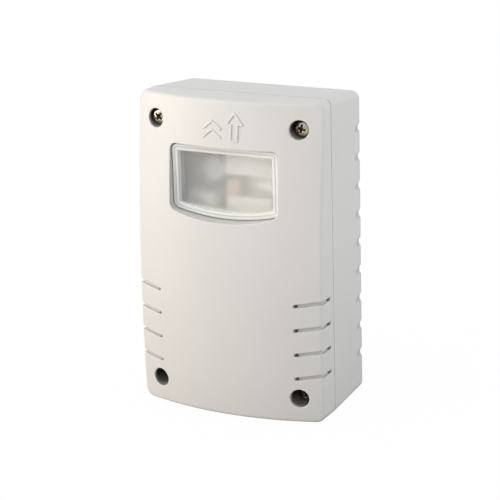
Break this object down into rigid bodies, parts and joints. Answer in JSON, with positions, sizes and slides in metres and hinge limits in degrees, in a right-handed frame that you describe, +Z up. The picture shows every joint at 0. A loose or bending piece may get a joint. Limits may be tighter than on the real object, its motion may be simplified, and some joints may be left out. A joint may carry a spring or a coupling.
{
  "type": "automatic coop door light-sensing control unit",
  "caption": "Wall-mounted light-sensing control box of an automatic coop door, with a frosted window and a screwed-on cover.",
  "frame": {"origin": "centre of the flat back, on the wall plane", "axes": "+Z up, +Y into the wall, so the front faces -Y; +X to the right as seen from the front"},
  "size_m": [0.0632, 0.038, 0.1005],
  "materials": {
    "casing_plastic": "fine satin moulded, warm light grey",
    "seal_rubber": "matt black",
    "frosted_lens": "frosted pane with a clear glossy border",
    "board_laminate": "pale paper laminate",
    "zinc_steel": "bright zinc",
    "terminal_plastic": "grey green moulded",
    "relay_shell": "off-white moulded",
    "black_plastic": "matt black moulded",
    "white_plastic": "white moulded",
    "copper_wire": "lacquered copper winding",
    "contact_brass": "stamped",
    "photocell_ceramic": "clear coated, red brown track",
    "trimmer_plastic": "blue moulded",
    "film_box": "white moulded box",
    "capacitor_can": "bare top, sleeved side",
    "varistor_coating": "blue dipped coating",
    "resistor_body": "tan coating",
    "screw_nickel": "warm nickel plate"
  },
  "bodies": {
    "housing": {"rear_housing": "casing_plastic", "cover_seal": "seal_rubber", "cable_grommet_left": "seal_rubber", "cable_grommet_right": "seal_rubber", "circuit_board": "board_laminate", "board_screw_upper": "zinc_steel", "board_screw_lower": "zinc_steel", "terminal_housing": "terminal_plastic", "relay_case": "relay_shell", "relay_base": "black_plastic", "relay_yoke": "zinc_steel", "relay_core": "zinc_steel", "relay_bobbin": "white_plastic", "relay_coil": "copper_wire", "relay_contact_open": "contact_brass", "relay_contact_closed": "contact_brass", "photocell_body": "photocell_ceramic", "photocell_spacer": "white_plastic", "photocell_lead_left": "zinc_steel", "photocell_lead_right": "zinc_steel", "trimmer_body": "trimmer_plastic", "film_capacitor": "film_box", "suppression_capacitor": "film_box", "coupling_capacitor": "film_box", "electrolytic_capacitor": "capacitor_can", "varistor": "varistor_coating", "fuse": "black_plastic", "bridge_rectifier": "black_plastic", "comparator_chip": "black_plastic", "switching_transistor": "black_plastic", "zener_diode": "black_plastic", "flyback_diode": "black_plastic", "dropper_resistor": "resistor_body", "bias_resistor": "resistor_body", "feedback_resistor": "resistor_body", "terminal_bar_1": "contact_brass", "terminal_bar_2": "contact_brass", "terminal_bar_3": "contact_brass", "terminal_bar_4": "contact_brass"},
    "cover": {"front_cover": "casing_plastic", "window_lens": "frosted_lens", "lens_seal": "seal_rubber"},
    "cover_screw_top_left": {"cover_screw_top_left": "screw_nickel"},
    "cover_screw_top_right": {"cover_screw_top_right": "screw_nickel"},
    "cover_screw_bottom_left": {"cover_screw_bottom_left": "screw_nickel"},
    "cover_screw_bottom_right": {"cover_screw_bottom_right": "screw_nickel"},
    "trimmer_rotor": {"trimmer_rotor": "white_plastic"},
    "relay_armature": {"relay_armature": "zinc_steel", "relay_contact_spring": "contact_brass"},
    "terminal_screw_1": {"terminal_screw_1": "zinc_steel"},
    "terminal_clamp_1": {"terminal_clamp_1": "zinc_steel"},
    "terminal_screw_2": {"terminal_screw_2": "zinc_steel"},
    "terminal_clamp_2": {"terminal_clamp_2": "zinc_steel"},
    "terminal_screw_3": {"terminal_screw_3": "zinc_steel"},
    "terminal_clamp_3": {"terminal_clamp_3": "zinc_steel"},
    "terminal_screw_4": {"terminal_screw_4": "zinc_steel"},
    "terminal_clamp_4": {"terminal_clamp_4": "zinc_steel"}
  },
  "joints": [
    {"name": "cover_lift", "type": "slide", "parent": "housing", "child": "cover", "axis": [0, -1, 0], "range_m": [0, 0.04]},
    {"name": "cover_screw_turn_top_left", "type": "hinge", "parent": "cover", "child": "cover_screw_top_left", "pos_m": [-0.0242, -0.0269, 0.0415], "axis": [0, 1, 0], "continuous": true},
    {"name": "cover_screw_turn_top_right", "type": "hinge", "parent": "cover", "child": "cover_screw_top_right", "pos_m": [0.0242, -0.0269, 0.0415], "axis": [0, 1, 0], "continuous": true},
    {"name": "cover_screw_turn_bottom_left", "type": "hinge", "parent": "cover", "child": "cover_screw_bottom_left", "pos_m": [-0.0242, -0.0269, -0.0415], "axis": [0, 1, 0], "continuous": true},
    {"name": "cover_screw_turn_bottom_right", "type": "hinge", "parent": "cover", "child": "cover_screw_bottom_right", "pos_m": [0.0242, -0.0269, -0.0415], "axis": [0, 1, 0], "continuous": true},
    {"name": "trimmer_turn", "type": "hinge", "parent": "housing", "child": "trimmer_rotor", "pos_m": [0.02, -0.0135, 0.0249], "axis": [0, 1, 0], "range_deg": [-135, 135]},
    {"name": "relay_armature_swing", "type": "hinge", "parent": "housing", "child": "relay_armature", "pos_m": [0.00485, -0.0218, 0.0014], "axis": [-1, 0, 0], "range_deg": [0, 3.5]},
    {"name": "terminal_clamp_rise_1", "type": "slide", "parent": "housing", "child": "terminal_clamp_1", "axis": [0, -1, 0], "range_m": [0, 0.0015]},
    {"name": "terminal_screw_turn_1", "type": "hinge", "parent": "housing", "child": "terminal_screw_1", "pos_m": [-0.01125, -0.0205, -0.0284], "axis": [0, 1, 0], "range_deg": [0, 1080]},
    {"name": "terminal_clamp_rise_2", "type": "slide", "parent": "housing", "child": "terminal_clamp_2", "axis": [0, -1, 0], "range_m": [0, 0.0015]},
    {"name": "terminal_screw_turn_2", "type": "hinge", "parent": "housing", "child": "terminal_screw_2", "pos_m": [-0.00375, -0.0205, -0.0284], "axis": [0, 1, 0], "range_deg": [0, 1080]},
    {"name": "terminal_clamp_rise_3", "type": "slide", "parent": "housing", "child": "terminal_clamp_3", "axis": [0, -1, 0], "range_m": [0, 0.0015]},
    {"name": "terminal_screw_turn_3", "type": "hinge", "parent": "housing", "child": "terminal_screw_3", "pos_m": [0.00375, -0.0205, -0.0284], "axis": [0, 1, 0], "range_deg": [0, 1080]},
    {"name": "terminal_clamp_rise_4", "type": "slide", "parent": "housing", "child": "terminal_clamp_4", "axis": [0, -1, 0], "range_m": [0, 0.0015]},
    {"name": "terminal_screw_turn_4", "type": "hinge", "parent": "housing", "child": "terminal_screw_4", "pos_m": [0.01125, -0.0205, -0.0284], "axis": [0, 1, 0], "range_deg": [0, 1080]}
  ],
  "couplings": [
    {"joint": "terminal_screw_turn_1", "follows": "terminal_clamp_rise_1", "rad_per_m": 12560},
    {"joint": "terminal_screw_turn_2", "follows": "terminal_clamp_rise_2", "rad_per_m": 12560},
    {"joint": "terminal_screw_turn_3", "follows": "terminal_clamp_rise_3", "rad_per_m": 12560},
    {"joint": "terminal_screw_turn_4", "follows": "terminal_clamp_rise_4", "rad_per_m": 12560}
  ]
}
